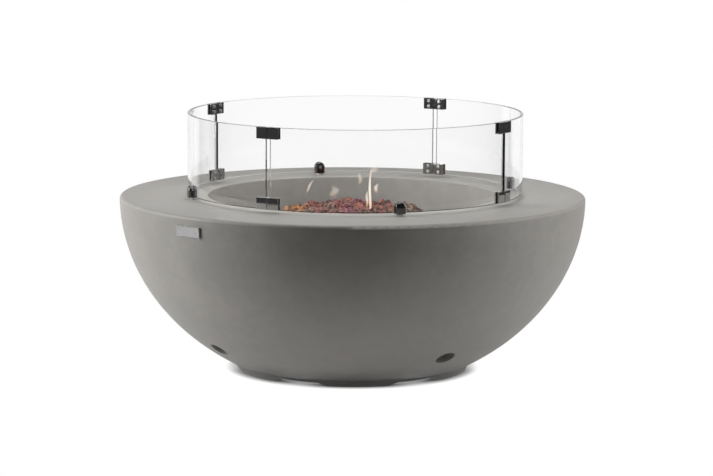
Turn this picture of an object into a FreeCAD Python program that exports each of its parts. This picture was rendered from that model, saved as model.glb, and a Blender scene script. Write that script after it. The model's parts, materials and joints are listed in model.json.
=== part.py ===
import FreeCAD, Part
import math
import os
import random
import re
import Sketcher
from FreeCAD import Placement, Rotation, Vector

# Round fire pit table: a cast concrete bowl with a gas burner under lava rock,
# and a loose wind screen of four curved glass panels standing on the rim.
# Millimetres, +Z up, origin on the floor under the bowl's centre.
# The front is -Y. A turn is an angle about +Z, counted from the front towards +X.

SIZES = [
    ("bowl_radius", "533.4", "outer radius at the rim"),
    ("bowl_height", "400", "floor to the top of the rim"),
    ("dome_sunk", "47", "how far the dome's ellipse would reach below the floor"),
    ("shell_wall", "16", "concrete wall of the dome"),
    ("rim_thickness", "16", "concrete slab of the rim"),
    ("rim_round", "7", "rounding of the rim's outer edge"),
    ("basin_radius", "331", "inner radius of the fire basin"),
    ("basin_depth", "120", "rim to the basin floor"),
    ("basin_wall", "16", "wall of the fire basin"),
    ("basin_floor", "18", "floor slab of the fire basin"),
    ("basin_lip", "2", "rounding of the basin's upper edge"),
    ("burner_opening", "138", "radius of the hole in the basin floor"),
    ("foot_height", "14.5", "height of the cast feet"),
    ("foot_width", "37", "radial width of a cast foot at its top"),
    ("foot_taper", "6", "radius lost from the top to the bottom of a foot"),
    ("foot_count", "6", "cast feet"),
    ("foot_turn", "3", "turn of the first cast foot"),
    ("arch_width", "138", "floor width of the arch between two feet"),
    ("vent_radius", "23", "air hole in the dome"),
    ("vent_level", "72", "height of the air holes"),
    ("vent_turn", "35", "turn of the first air hole"),
    ("vent_count", "4", "air holes"),
    ("plate_length", "72", "name plate"),
    ("plate_height", "24", "name plate"),
    ("plate_thickness", "3", "name plate, over the dome at its middle"),
    ("plate_bevel", "1.2", "bevel of the name plate's face"),
    ("plate_drop", "33", "rim down to the middle of the name plate"),
    ("plate_turn", "-42.2", "turn of the name plate"),
    ("fit_gap", "0.1", "clearance round screws, pipes and nuts"),
    ("cutter_reach", "10", "how far a drill runs past a thin wall"),
    ("drill_spare", "1", "drilled hole beyond the tip of what goes in"),
    ("running_gap", "0.05", "radial clearance of a sliding or turning fit"),
    ("pan_radius", "210", "burner pan"),
    ("pan_height", "26", "turned up edge of the burner pan"),
    ("pan_sheet", "1.5", "sheet of the burner pan"),
    ("pan_screw_circle", "152", "radius of the circle of pan screws"),
    ("pan_screw_count", "4", "pan screws"),
    ("pan_screw_radius", "2.5", "shank of a pan screw"),
    ("pan_screw_length", "14", "shank of a pan screw under its head"),
    ("ring_radius", "125", "centre line of the burner ring"),
    ("ring_tube", "9", "outer radius of the burner's tube"),
    ("ring_sheet", "1.5", "wall of the burner's tube"),
    ("cross_tube", "8", "outer radius of the burner's cross tube"),
    ("ring_lift", "25", "burner's centre line over the pan"),
    ("port_radius", "1.3", "flame port"),
    ("port_count", "24", "flame ports"),
    ("hub_radius", "14", "burner hub"),
    ("hub_height", "22", "burner hub"),
    ("stem_radius", "8", "threaded burner pipe"),
    ("stem_wall", "2.5", "wall of the burner pipe"),
    ("stem_grip", "11", "length of the burner pipe inside hub and elbow"),
    ("stem_drop", "30", "burner pipe from the basin floor down to the elbow"),
    ("stem_nut_radius", "15.6", "lock nut over its corners"),
    ("stem_nut_height", "8", "lock nut"),
    ("elbow_radius", "12", "gas elbow, body"),
    ("elbow_height", "29", "gas elbow, body"),
    ("elbow_reach", "28", "gas elbow, centre to the end of its spigot"),
    ("elbow_foot", "3", "gas elbow below its spigot"),
    ("jet_radius", "0.8", "gas jet in the elbow"),
    ("electrode_ring", "104", "distance of electrode and flame sensor from the centre"),
    ("electrode_turn", "206", "turn of the electrode"),
    ("sensor_turn", "154", "turn of the flame sensor"),
    ("probe_radius", "4", "ceramic of electrode and body of the sensor"),
    ("probe_collar", "7", "collar that rests on the pan"),
    ("probe_collar_height", "4", "collar that rests on the pan"),
    ("probe_below", "18", "electrode and sensor under the pan"),
    ("probe_above", "26", "electrode and sensor over the pan"),
    ("electrode_tip", "2.8", "radius of the ceramic at its tip"),
    ("sensor_tip", "2", "radius of the flame sensor at its tip"),
    ("spark_rod_radius", "1.2", "electrode's rod"),
    ("spark_rod_sunk", "13", "electrode's rod inside its ceramic"),
    ("spark_rod_rise", "15", "electrode's rod over its ceramic"),
    ("spark_rod_reach", "14", "electrode's rod towards the ring"),
    ("spark_rod_bend", "3", "bend radius of the electrode's rod"),
    ("lava_cavity", "164", "radius of the space round the burner under the lava"),
    ("lava_cavity_height", "47", "space over the pan under the lava"),
    ("lava_gap", "2.5", "lava bed inside the pan's edge"),
    ("lava_height", "74", "top of the packed lava over the pan"),
    ("lava_crown", "84", "radius of the level middle of the lava pile"),
    ("lava_shoulder", "168", "radius where the lava pile begins to fall"),
    ("lava_shoulder_height", "63", "height of that shoulder over the pan"),
    ("lava_edge_height", "34", "height of the lava at the pan's edge"),
    ("rock_size", "27", "largest half size of a loose lava rock"),
    ("rock_count", "84", "loose lava rocks on top"),
    ("control_drop", "110", "rim down to the middle of the control panel"),
    ("control_turn", "180", "turn of the control panel, at the rear"),
    ("pocket_length", "150", "recess of the control panel"),
    ("pocket_height", "84", "recess of the control panel"),
    ("pocket_depth", "20", "recess of the control panel"),
    ("pocket_corner", "10", "corner radius of the recess"),
    ("seat_depth", "20", "concrete behind the recess"),
    ("seat_border", "16", "concrete round the recess"),
    ("seat_bite", "2", "seat of the control panel inside the dome's wall"),
    ("window_length", "118", "opening behind the control panel"),
    ("window_height", "56", "opening behind the control panel"),
    ("panel_gap", "2", "gap round the control panel"),
    ("panel_sheet", "2", "control panel"),
    ("panel_screw_x", "66", "panel screw from the middle"),
    ("panel_screw_y", "34", "panel screw from the middle"),
    ("panel_screw_radius", "2", "shank of a panel screw"),
    ("panel_screw_length", "13", "shank of a panel screw under its head"),
    ("screw_head", "1.9", "head radius as a multiple of the shank radius"),
    ("head_height", "2.6", "height of a screw head"),
    ("head_edge", "0.6", "straight part of a screw head, as a share of its height"),
    ("head_flat", "0.7", "flat of a screw head, as a share of its radius"),
    ("head_socket", "0.4", "key socket of a screw head, as a share of its radius"),
    ("valve_x", "-28", "valve from the panel's middle"),
    ("valve_neck", "9", "radius of the valve's threaded neck"),
    ("valve_shoulder", "13", "radius of the shoulder behind the panel"),
    ("valve_shoulder_length", "22", "shoulder behind the panel"),
    ("valve_width", "36", "valve block"),
    ("valve_height", "34", "valve block"),
    ("valve_length", "50", "valve block"),
    ("control_nut_height", "5", "nuts on the panel's face"),
    ("valve_nut_radius", "14", "valve nut over its corners"),
    ("inlet_radius", "7.94", "thread of the gas inlet"),
    ("inlet_length", "18", "thread of the gas inlet"),
    ("inlet_bore", "4", "bore of the gas inlet"),
    ("inlet_depth", "12", "inlet behind the valve block's front"),
    ("outlet_depth", "38", "outlet behind the valve block's front"),
    ("outlet_radius", "6", "valve outlet"),
    ("outlet_length", "12", "valve outlet"),
    ("sensor_port", "4", "radius of the valve's port for the flame sensor"),
    ("sensor_port_length", "8", "port for the flame sensor"),
    ("push_travel", "4", "travel of knob and button"),
    ("collar_radius", "6", "push collar round the valve stem"),
    ("collar_height", "6", "push collar round the valve stem"),
    ("stem_rod", "3.5", "radius of the valve stem"),
    ("stem_shoulder", "5", "shoulder of the valve stem"),
    ("stem_shoulder_height", "3", "shoulder of the valve stem"),
    ("stem_depth", "36", "valve stem behind the collar"),
    ("collar_sink", "12", "neck's top down to the collar's underside at rest"),
    ("knob_radius", "21", "control knob"),
    ("knob_height", "16", "control knob"),
    ("knob_grip", "7", "width of the knob's grip bar"),
    ("knob_skirt", "6", "height of the knob's skirt"),
    ("knob_bevel", "3", "bevel of the knob's skirt"),
    ("knob_grip_length", "36", "length of the knob's grip bar"),
    ("knob_grip_round", "2", "rounding of the grip bar"),
    ("knob_clear", "1", "knob over the nut when it is pushed in"),
    ("igniter_x", "32", "igniter from the panel's middle"),
    ("igniter_neck", "11", "radius of the igniter's neck"),
    ("igniter_body", "14", "radius of the igniter behind the panel"),
    ("igniter_length", "50", "igniter behind the panel"),
    ("igniter_nut_radius", "15.5", "radius of the igniter's ring nut"),
    ("button_radius", "8", "igniter button"),
    ("button_proud", "6", "button over the neck"),
    ("button_length", "21", "igniter button"),
    ("button_bevel", "1.5", "bevel of the button"),
    ("button_dish", "1", "hollow of the button's top"),
    ("tube_radius", "6", "gas tube from valve to burner"),
    ("tube_nut_radius", "10", "tube nut over its corners"),
    ("tube_nut_length", "14", "tube nut"),
    ("tube_bend", "34", "bend radius of the gas tube"),
    ("tube_end_bend", "68", "bend radius of the gas tube before the elbow"),
    ("tube_end_run", "102", "level run of the gas tube into the elbow"),
    ("wire_radius", "2", "ignition wire"),
    ("wire_bend", "12", "bend radius of wire and sensor lead"),
    ("wire_exit", "31", "run of the ignition wire out of the igniter"),
    ("lead_exit", "26", "run of the sensor lead out of the valve"),
    ("lead_radius", "1.2", "flame sensor lead"),
    ("wire_drop", "20", "ignition wire and sensor lead under the basin's slab"),
    ("screen_radius", "380.5", "middle of the glass"),
    ("screen_aside", "5.5", "how far the loose screen stands towards +X of the bowl's axis"),
    ("glass_thickness", "6", "glass panel"),
    ("glass_height", "182", "glass panel"),
    ("glass_lift", "8", "rim to the glass"),
    ("glass_gap", "11", "gap between two panels"),
    ("panel_count", "4", "glass panels"),
    ("joint_turn", "-30", "turn of the first gap"),
    ("clamp_width", "27", "one leaf of a clamp"),
    ("clamp_height", "26", "clamp"),
    ("clamp_sheet", "3", "leaf of a clamp"),
    ("clamp_split", "1.4", "gap between the two leaves"),
    ("clamp_web", "4.5", "web between the two panels"),
    ("web_root", "1", "web inside the outer leaf"),
    ("clamp_round", "0.8", "edge rounding of a leaf"),
    ("gasket", "1", "rubber between glass and metal"),
    ("boss_radius", "3.6", "clamp boss inside the glass hole"),
    ("glass_hole", "4", "hole in the glass for a clamp boss"),
    ("clamp_screw_radius", "2", "shank of a clamp screw"),
    ("clamp_screw_spacing", "13", "vertical distance of the two screws"),
    ("thread_grip", "7", "clamp screw inside the outer leaf's boss"),
    ("shoe_width", "22.5", "screen foot"),
    ("shoe_top", "31", "rim to the top of a screen foot"),
    ("shoe_bottom", "4.5", "rim to the bottom of a screen foot"),
    ("shoe_jaw", "7", "jaw of a screen foot beside the glass"),
    ("shoe_round", "4", "edge rounding of a screen foot"),
    ("liner", "1.2", "rubber between glass and screen foot"),
    ("shoe_screw_radius", "3.5", "set screw of a screen foot"),
    ("shoe_screw_proud", "1", "set screw out of its jaw"),
    ("shoe_socket_radius", "2", "key socket of a set screw"),
    ("shoe_socket_depth", "2.5", "key socket of a set screw"),
    ("pad_radius", "6.5", "pad under a screen foot"),
    ("rear_foot_turn", "-1.9", "turn of the rear foot away from its panel's middle"),
]
NAMES = {alias for alias, size, note in SIZES}

doc = FreeCAD.newDocument("fire_pit_table")
sheet = doc.addObject("Spreadsheet::Sheet", "dims")
for row, (alias, size, note) in enumerate(SIZES, 1):
    sheet.set("A%d" % row, note)
    sheet.set("B%d" % row, size)
    sheet.setAlias("B%d" % row, alias)
doc.recompute()


def bound(formula):
    """The formula with each size's name turned into a cell of the sheet."""
    def cell(word):
        return "dims." + word.group() if word.group() in NAMES else word.group()
    return re.sub(r"[a-z][a-z_]+", cell, formula)


def size(formula):
    return float(sheet.evalExpression(bound(formula)))


# Placements

def turned_about(turn, x=0.0, y=0.0, z=0.0, roll=0.0):
    return Placement(Vector(), Rotation(Vector(0, 0, 1), turn)) * Placement(
        Vector(x, y, z), Rotation(Vector(1, 0, 0), roll))


def dome_depth():
    """Vertical half axis of the dome's ellipse, whose centre is level with the rim."""
    return "(bowl_height + dome_sunk)"


def dome_point(level):
    sine = (size("bowl_height") - level) / size(dome_depth())
    cosine = math.sqrt(1 - sine * sine)
    tilt = math.degrees(math.atan2(sine / size(dome_depth()), cosine / size("bowl_radius")))
    return size("bowl_radius") * cosine, tilt


def on_dome(turn, level, x=0.0, y=0.0, z=0.0, spin=None):
    """Local x runs along the rim, y up the dome and z out of it."""
    radius, tilt = dome_point(level)
    frame = turned_about(turn, 0, -radius, level, 90 + tilt)
    return frame * Placement(Vector(x, y, z), spin or Rotation())


def on_control(x=0.0, y=0.0, z=0.0, spin=None):
    return on_dome(size("control_turn"), size("bowl_height - control_drop"), x, y, z, spin)


# Solids

def solid(kind, name, place=None, **sizes):
    item = doc.addObject("Part::" + kind, name)
    for key, formula in sizes.items():
        if isinstance(formula, str):
            item.setExpression(key, bound(formula))
        else:
            setattr(item, key, formula)
    item.Placement = place or Placement()
    return item


def box(name, length, width, height, place):
    """A box centred in length and width, standing on its placement."""
    shift = Placement(Vector(-size(length) / 2, -size(width) / 2, 0), Rotation())
    return solid("Box", name, place * shift, Length=length, Width=width, Height=height)


def cylinder(name, radius, height, place):
    return solid("Cylinder", name, place, Radius=radius, Height=height)


def fuse(name, *items):
    item = doc.addObject("Part::MultiFuse", name)
    item.Shapes = list(items)
    return item


def cut(name, base, *tools):
    item = doc.addObject("Part::Cut", name)
    item.Base = base
    item.Tool = tools[0] if len(tools) == 1 else fuse(name + "_tools", *tools)
    return item


def common(name, first, second):
    item = doc.addObject("Part::Common", name)
    item.Base = first
    item.Tool = second
    return item


def group(name, items):
    item = doc.addObject("Part::Compound", name)
    item.Links = list(items)
    return item


def copy_of(master, name, place):
    item = group(name, [master])
    item.Placement = place
    return item


def rounded(name, base, radius, chosen):
    """Rounds the edges that the function chosen picks."""
    doc.recompute()
    item = doc.addObject("Part::Fillet", name)
    item.Base = base
    amount = size(radius)
    item.Edges = [(i, amount, amount) for i, edge in enumerate(base.Shape.Edges, 1) if chosen(edge)]
    return item


def is_upright(edge):
    if not isinstance(edge.Curve, Part.Line):
        return False
    ends = [vertex.Point for vertex in edge.Vertexes]
    return abs(ends[0].z - ends[1].z) > 0.99 * edge.Length


def is_ring(edge, radius, level):
    centre = edge.BoundBox.Center
    wide = max(edge.BoundBox.XLength, edge.BoundBox.YLength) / 2
    return abs(wide - radius) < 0.01 and abs(centre.z - level) < 0.01 and edge.BoundBox.ZLength < 0.01


def round_parts(count, first_turn):
    return [size(first_turn) + i * 360.0 / round(size(count)) for i in range(round(size(count)))]


# Sketched bodies

def pin_to_origin(sketch, line, x, y):
    for kind, formula, axis in (("DistanceX", x, -2), ("DistanceY", y, -1)):
        if formula == "0":
            sketch.addConstraint(Sketcher.Constraint("PointOnObject", line, 1, axis))
            continue
        index = sketch.addConstraint(Sketcher.Constraint(kind, -1, 1, line, 1, size(formula)))
        sketch.setExpression("Constraints[%d]" % index, bound(formula))


def sketched(name, plane_role, outline):
    """A body with one closed outline of straight lines, each corner held from the origin."""
    body = doc.addObject("PartDesign::Body", name)
    sketch = body.newObject("Sketcher::SketchObject", name + "_outline")
    plane = next(item for item in body.Origin.OriginFeatures if item.Role == plane_role)
    sketch.AttachmentSupport = [(plane, "")]
    sketch.MapMode = "FlatFace"
    corners = [Vector(size(x), size(y), 0) for x, y in outline]
    count = len(corners)
    for i in range(count):
        sketch.addGeometry(Part.LineSegment(corners[i], corners[(i + 1) % count]))
    for i in range(count):
        sketch.addConstraint(Sketcher.Constraint("Coincident", i, 2, (i + 1) % count, 1))
    for i, (x, y) in enumerate(outline):
        pin_to_origin(sketch, i, x, y)
    return body, sketch


def lathe(name, outline, place=None):
    """A solid of revolution about its own z axis; the outline is (radius, height) pairs."""
    body, sketch = sketched(name, "XZ_Plane", outline)
    turn = body.newObject("PartDesign::Revolution", name + "_turn")
    turn.Profile = sketch
    turn.ReferenceAxis = (sketch, ["V_Axis"])
    turn.Angle = 360
    body.Placement = place or Placement()
    return body


def bolt(name, radius, length, place):
    """Head on the local xy plane, shank below it."""
    shank = "(%s)" % radius
    head = shank + " * screw_head"
    floor = "head_height * (1 - head_edge)"
    outline = [("0", "-(%s)" % length), (shank, "-(%s)" % length), (shank, "0"), (head, "0"),
               (head, "head_height * head_edge"), (head + " * head_flat", "head_height"),
               (head + " * head_socket", "head_height"), (head + " * head_socket", floor), ("0", floor)]
    return lathe(name, outline, place)


def nut(name, radius, height, bore, place):
    hexagon = solid("Prism", name + "_hexagon", place, Polygon=6, Circumradius=radius, Height=height)
    return cut(name, hexagon, cylinder(name + "_bore", bore, height, place))


# Concrete

def dome_radius(inset, level):
    """Radius of the dome's outer face, or of a face inset from it."""
    wide = size("bowl_radius") - inset
    deep = size(dome_depth()) - inset
    sine = (size("bowl_height") - level) / deep
    return wide * math.sqrt(1 - sine * sine)


def rim_under():
    return "bowl_height - rim_thickness"


def make_dome():
    """The dome under the rim, turned from a section with two elliptical sides."""
    base = size("foot_height")
    top = size(rim_under())

    def side(inset):
        def point(level):
            return Vector(dome_radius(inset, level), 0, level)
        wide = size("bowl_radius") - inset
        deep = size(dome_depth()) - inset
        centre = Vector(0, 0, size("bowl_height"))
        ends = [centre + Vector(wide, 0, 0), centre - Vector(0, 0, deep)]
        curve = Part.Ellipse(*(ends if wide >= deep else ends[::-1]), centre)
        low, high = point(base), point(top)
        first, last = sorted((curve.parameter(low), curve.parameter(high)))
        arc = curve.toShape(first, last)
        if arc.Length > math.pi * wide:
            arc = curve.toShape(last, first + 2 * math.pi)
        return arc, low, high

    outer, outer_low, outer_high = side(0)
    inner, inner_low, inner_high = side(size("shell_wall"))
    loop = [outer, Part.makeLine(outer_high, inner_high), inner, Part.makeLine(inner_low, outer_low)]
    section = Part.Face(Part.Wire(Part.__sortEdges__(loop)))
    dome = doc.addObject("Part::Feature", "dome_casting")
    dome.Shape = section.revolve(Vector(), Vector(0, 0, 1), 360)
    return dome


def make_bowl_rim():
    """The flat table round the fire, with a rounded outer edge and an eased inner one."""
    dome_top = "bowl_radius * sqrt(1 - (rim_thickness / %s) ^ 2)" % dome_depth()
    outline = [("basin_radius", rim_under()), (dome_top, rim_under()), ("bowl_radius", "bowl_height"),
               ("basin_radius", "bowl_height")]
    slab = lathe("rim_slab", outline)
    top = size("bowl_height")
    eased = rounded("rim_eased", slab, "rim_round", lambda edge: is_ring(edge, size("bowl_radius"), top))
    return rounded("bowl_rim", eased, "basin_lip", lambda edge: is_ring(edge, size("basin_radius"), top))


def control_cutters():
    pocket = box("pocket_block", "pocket_length", "pocket_height", "pocket_depth * 3", Placement())
    pocket = rounded("pocket_round", pocket, "pocket_corner", is_upright)
    pocket_cut = copy_of(pocket, "pocket_cut", on_control(z=-size("pocket_depth")))
    window = box("window_cut", "window_length", "window_height", "seat_depth * 3",
                 on_control(z=-2 * size("seat_depth") - size("pocket_depth")))
    drilled = "panel_screw_length - panel_sheet + drill_spare"
    holes = [cylinder("seat_hole_%d" % i, "panel_screw_radius + fit_gap", "panel_screw_length * 2", place)
             for i, place in enumerate(panel_screw_places(-size(drilled)))]
    return [pocket_cut, window] + holes


def panel_screw_places(above_seat):
    """Places over the seat of the control panel, one for each screw."""
    level = above_seat - size("pocket_depth")
    return [on_control(x * size("panel_screw_x"), y * size("panel_screw_y"), level)
            for x in (-1, 1) for y in (-1, 1)]


def make_bowl_shell():
    length = "pocket_length + 2 * seat_border"
    height = "pocket_height + 2 * seat_border"
    depth = "pocket_depth + seat_depth - shell_wall + seat_bite"
    seat = box("control_seat", length, height, depth, on_control(z=-size("pocket_depth + seat_depth")))
    vents = []
    for i, turn in enumerate(round_parts("vent_count", "vent_turn")):
        place = on_dome(turn, size("vent_level"), z=-2 * size("shell_wall"))
        vents.append(cylinder("vent_cut_%d" % i, "vent_radius", "shell_wall * 4", place))
    casting = fuse("bowl_casting", make_dome(), seat)
    return cut("bowl_shell", casting, *(vents + control_cutters()))


def make_basin_wall():
    low = "bowl_height - basin_depth"
    return lathe("basin_wall", [("basin_radius", low), ("basin_radius + basin_wall", low),
                                ("basin_radius + basin_wall", rim_under()), ("basin_radius", rim_under())])


def make_basin_floor():
    """The basin's slab, with the burner's opening and the holes for the pan's screws."""
    top = "bowl_height - basin_depth"
    low = top + " - basin_floor"
    slab = lathe("basin_slab", [("burner_opening", low), ("basin_radius + basin_wall", low),
                                ("basin_radius + basin_wall", top), ("burner_opening", top)])
    holes = []
    for i, turn in enumerate(round_parts("pan_screw_count", "foot_turn")):
        depth = size("pan_screw_length - pan_sheet + drill_spare")
        place = turned_about(turn, 0, -size("pan_screw_circle"), size(top) - depth)
        holes.append(cylinder("basin_hole_%d" % i, "pan_screw_radius + fit_gap", "pan_screw_length * 2",
                              place))
    return cut("basin_floor", slab, *holes)


def make_base_feet():
    """Cast feet: a ring cut by low arches, each a slice of a lying cylinder, up to just over its top."""
    top = "bowl_radius * sqrt(1 - ((bowl_height - foot_height) / %s) ^ 2)" % dome_depth()
    outline = [(top + " - foot_width", "0"), (top + " - foot_taper", "0"), (top, "foot_height"),
               (top + " - foot_width", "foot_height")]
    ring = lathe("foot_ring", outline)
    rise = "(foot_height + fit_gap)"
    arch_radius = "((arch_width / 2) ^ 2 + %s ^ 2) / (2 * %s)" % (rise, rise)
    arches = []
    for i, turn in enumerate(round_parts("foot_count", "foot_turn")):
        middle = turn + 180.0 / size("foot_count")
        place = turned_about(middle, 0, 0, size(rise) - size(arch_radius), 90)
        arches.append(cylinder("arch_cut_%d" % i, arch_radius, "bowl_radius", place))
    return cut("base_feet", ring, *arches)


def make_name_plate():
    """A bare bevelled plate whose back is cut to the dome."""
    low = on_dome(size("plate_turn"), size("bowl_height - plate_drop"), z=-size("plate_thickness"))
    block = box("plate_block", "plate_length", "plate_height", "plate_thickness * 2", Placement())
    doc.recompute()
    face = doc.addObject("Part::Chamfer", "plate_bevelled")
    face.Base = block
    bevel = size("plate_bevel")
    top = 2 * size("plate_thickness")
    face.Edges = [(i, bevel, bevel) for i, edge in enumerate(block.Shape.Edges, 1)
                  if min(v.Point.z for v in edge.Vertexes) > top - 0.01]
    placed = copy_of(face, "plate_placed", low)
    ball = dome_solid("plate_dome")
    return cut("name_plate", placed, ball)


def dome_solid(name):
    """The dome's outer form as a full solid, used to shape what lies on it."""
    item = solid("Ellipsoid", name, Placement(Vector(0, 0, size("bowl_height")), Rotation()),
                 Radius1=dome_depth(), Radius2="bowl_radius", Radius3="bowl_radius")
    return item


# Burner

def pan_top():
    return "(bowl_height - basin_depth + pan_sheet)"


def make_burner_pan():
    floor = "bowl_height - basin_depth"
    edge = floor + " + pan_height"
    outline = [("stem_radius + fit_gap", floor), ("pan_radius", floor), ("pan_radius", edge),
               ("pan_radius - pan_sheet", edge), ("pan_radius - pan_sheet", floor + " + pan_sheet"),
               ("stem_radius + fit_gap", floor + " + pan_sheet")]
    sheet_metal = lathe("pan_sheet_metal", outline)
    level = size(floor) - size("pan_sheet")
    holes = []
    for i, turn in enumerate(round_parts("pan_screw_count", "foot_turn")):
        place = turned_about(turn, 0, -size("pan_screw_circle"), level)
        holes.append(cylinder("pan_hole_%d" % i, "pan_screw_radius + fit_gap", "pan_sheet * 3", place))
    for name in ("electrode", "sensor"):
        place = turned_about(size(name + "_turn"), 0, -size("electrode_ring"), level)
        holes.append(cylinder("pan_%s_hole" % name, "probe_radius + fit_gap", "pan_sheet * 3", place))
    return cut("burner_pan", sheet_metal, *holes)


def make_pan_screws():
    screws = []
    for i, turn in enumerate(round_parts("pan_screw_count", "foot_turn")):
        place = turned_about(turn, 0, -size("pan_screw_circle"), size(pan_top()))
        screws.append(bolt("pan_screw_%d" % i, "pan_screw_radius", "pan_screw_length", place))
    return group("pan_screws", screws)


def make_burner_ring():
    """A hollow ring with ports on top, a cross tube and a hub that takes the pipe."""
    centre = size(pan_top()) + size("ring_lift")
    flat = Placement(Vector(0, 0, centre), Rotation())
    along_x = Placement(Vector(-size("ring_radius"), 0, centre), Rotation(Vector(0, 1, 0), 90))
    hub_low = Placement(Vector(0, 0, centre - size("hub_height") / 2), Rotation())
    skin = fuse("ring_skin",
                solid("Torus", "ring_outside", flat, Radius1="ring_radius", Radius2="ring_tube"),
                cylinder("ring_cross", "cross_tube", "2 * ring_radius", along_x),
                cylinder("ring_hub", "hub_radius", "hub_height", hub_low))
    hollow = [solid("Torus", "ring_inside", flat, Radius1="ring_radius", Radius2="ring_tube - ring_sheet"),
              cylinder("ring_cross_inside", "cross_tube - ring_sheet", "2 * ring_radius", along_x),
              cylinder("hub_socket", "stem_radius + fit_gap", "stem_grip", hub_low)]
    for i, turn in enumerate(round_parts("port_count", "foot_turn")):
        place = turned_about(turn, 0, -size("ring_radius"), centre)
        hollow.append(cylinder("port_%d" % i, "port_radius", "ring_tube * 2", place))
    return cut("burner_ring", skin, *hollow)


def hub_bottom():
    return pan_top() + " + ring_lift - hub_height / 2"


def make_burner_stem():
    low = "(bowl_height - basin_depth - stem_drop)"
    length = "%s + stem_grip - %s" % (hub_bottom(), low)
    place = Placement(Vector(0, 0, size(low)), Rotation())
    pipe = cylinder("stem_pipe", "stem_radius", length, place)
    return cut("burner_stem", pipe, cylinder("stem_bore", "stem_radius - stem_wall", length, place))


def make_stem_nuts():
    under = size("bowl_height - basin_depth - stem_nut_height")
    nuts = [nut("stem_nut_%d" % i, "stem_nut_radius", "stem_nut_height", "stem_radius + fit_gap",
                Placement(Vector(0, 0, level), Rotation()))
            for i, level in enumerate((under, size(pan_top())))]
    return group("stem_nuts", nuts)


def elbow_top():
    return "bowl_height - basin_depth - stem_drop + stem_grip"


def elbow_axis_level():
    return size(elbow_top() + " - elbow_height + tube_radius + elbow_foot")


def make_burner_elbow():
    """Brass elbow under the pan: the pipe enters from above, the gas tube from the rear."""
    low = size(elbow_top()) - size("elbow_height")
    body = cylinder("elbow_body", "elbow_radius", "elbow_height", Placement(Vector(0, 0, low), Rotation()))
    side = turned_about(size("control_turn"), 0, 0, elbow_axis_level(), 90)
    spigot = cylinder("elbow_spigot", "outlet_radius", "elbow_reach", side)
    socket = cylinder("elbow_socket", "stem_radius + fit_gap", "stem_grip",
                      Placement(Vector(0, 0, size(elbow_top()) - size("stem_grip")), Rotation()))
    jet = cylinder("elbow_jet", "jet_radius", "elbow_height - stem_grip",
                   Placement(Vector(0, 0, elbow_axis_level()), Rotation()))
    return cut("burner_elbow", fuse("elbow_blank", body, spigot), socket, jet)


def probe_place(name, above_pan):
    return turned_about(size(name + "_turn"), 0, -size("electrode_ring"), size(pan_top()) + above_pan)


def probe_outline(top_radius):
    collar = "probe_collar_height"
    return [("0", "-probe_below"), ("probe_radius", "-probe_below"), ("probe_radius", "0"),
            ("probe_collar", "0"), ("probe_collar", collar), ("probe_radius", collar),
            (top_radius, "probe_above"), ("0", "probe_above")]


def make_electrode():
    blank = lathe("electrode_ceramic", probe_outline("electrode_tip"), probe_place("electrode", 0))
    bore = cylinder("electrode_bore", "spark_rod_radius", "probe_above",
                    probe_place("electrode", size("probe_above - spark_rod_sunk")))
    return cut("electrode", blank, bore)


def make_electrode_rod():
    """Steel rod out of the ceramic, bent over the ring."""
    start = size("probe_above - spark_rod_sunk")
    rise = size("probe_above + spark_rod_rise")
    reach = size("spark_rod_reach")
    route = [Vector(0, 0, start), Vector(0, 0, rise), Vector(0, -reach, rise)]
    return tube("electrode_rod", route, [size("spark_rod_bend")], size("spark_rod_radius"),
                probe_place("electrode", 0))


def make_thermocouple():
    return lathe("thermocouple", probe_outline("sensor_tip"), probe_place("sensor", 0))


# Lava

ROCK_SIZES = (0.7, 1.0)  # share of rock_size
ROCK_RISE = (0.1, 0.4)  # middle of a rock over the packed lava, as a share of its half size
ROCK_DENTS = (0.74, 1.0)  # distance of a rock's corner from its middle, as a share of its half size


def lava_edge():
    return "pan_radius - pan_sheet - lava_gap"


def lava_slope():
    """Radius and height over the pan of the packed lava's top, from the edge to the middle."""
    return [(lava_edge(), "lava_edge_height"), ("lava_shoulder", "lava_shoulder_height"),
            ("lava_crown", "lava_height"), ("0", "lava_height")]


def make_lava_bed():
    floor = pan_top()
    cavity = floor + " + lava_cavity_height"
    slope = [(radius, floor + " + " + height) for radius, height in lava_slope()]
    underside = [("0", cavity), ("lava_cavity", cavity), ("lava_cavity", floor), (lava_edge(), floor)]
    return lathe("lava_bed", underside + slope)


def lava_level(radius):
    """Height of the packed lava's top at a distance from the middle."""
    points = [(size(r), size(h)) for r, h in lava_slope()]
    for (outer, outer_height), (inner, inner_height) in zip(points, points[1:]):
        if radius >= inner:
            share = (radius - inner) / (outer - inner)
            return size(pan_top()) + inner_height + share * (outer_height - inner_height)
    return size(pan_top()) + points[-1][1]


def rock(centre, half_size, chance):
    """An icosahedron whose corners are pushed in by chance."""
    golden = (1 + math.sqrt(5)) / 2
    corners = []
    for a in (-1, 1):
        for b in (-golden, golden):
            corners += [Vector(0, a, b), Vector(a, b, 0), Vector(b, 0, a)]
    spin = Rotation(Vector(chance.random() - 0.5, chance.random() - 0.5, chance.random() + 0.1),
                    chance.uniform(0, 360))
    reach = math.sqrt(1 + golden * golden)
    moved = [centre + spin.multVec(c) * (half_size / reach * chance.uniform(*ROCK_DENTS)) for c in corners]
    beside = 2.01  # just over the edge of this icosahedron, so it joins neighbours only
    faces = []
    for i in range(12):
        for j in range(i + 1, 12):
            for k in range(j + 1, 12):
                trio = (corners[i], corners[j], corners[k])
                if all((p - q).Length < beside for p in trio for q in trio):
                    loop = [moved[i], moved[j], moved[k], moved[i]]
                    faces.append(Part.Face(Part.makePolygon(loop)))
    return Part.makeSolid(Part.makeShell(faces))


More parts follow.
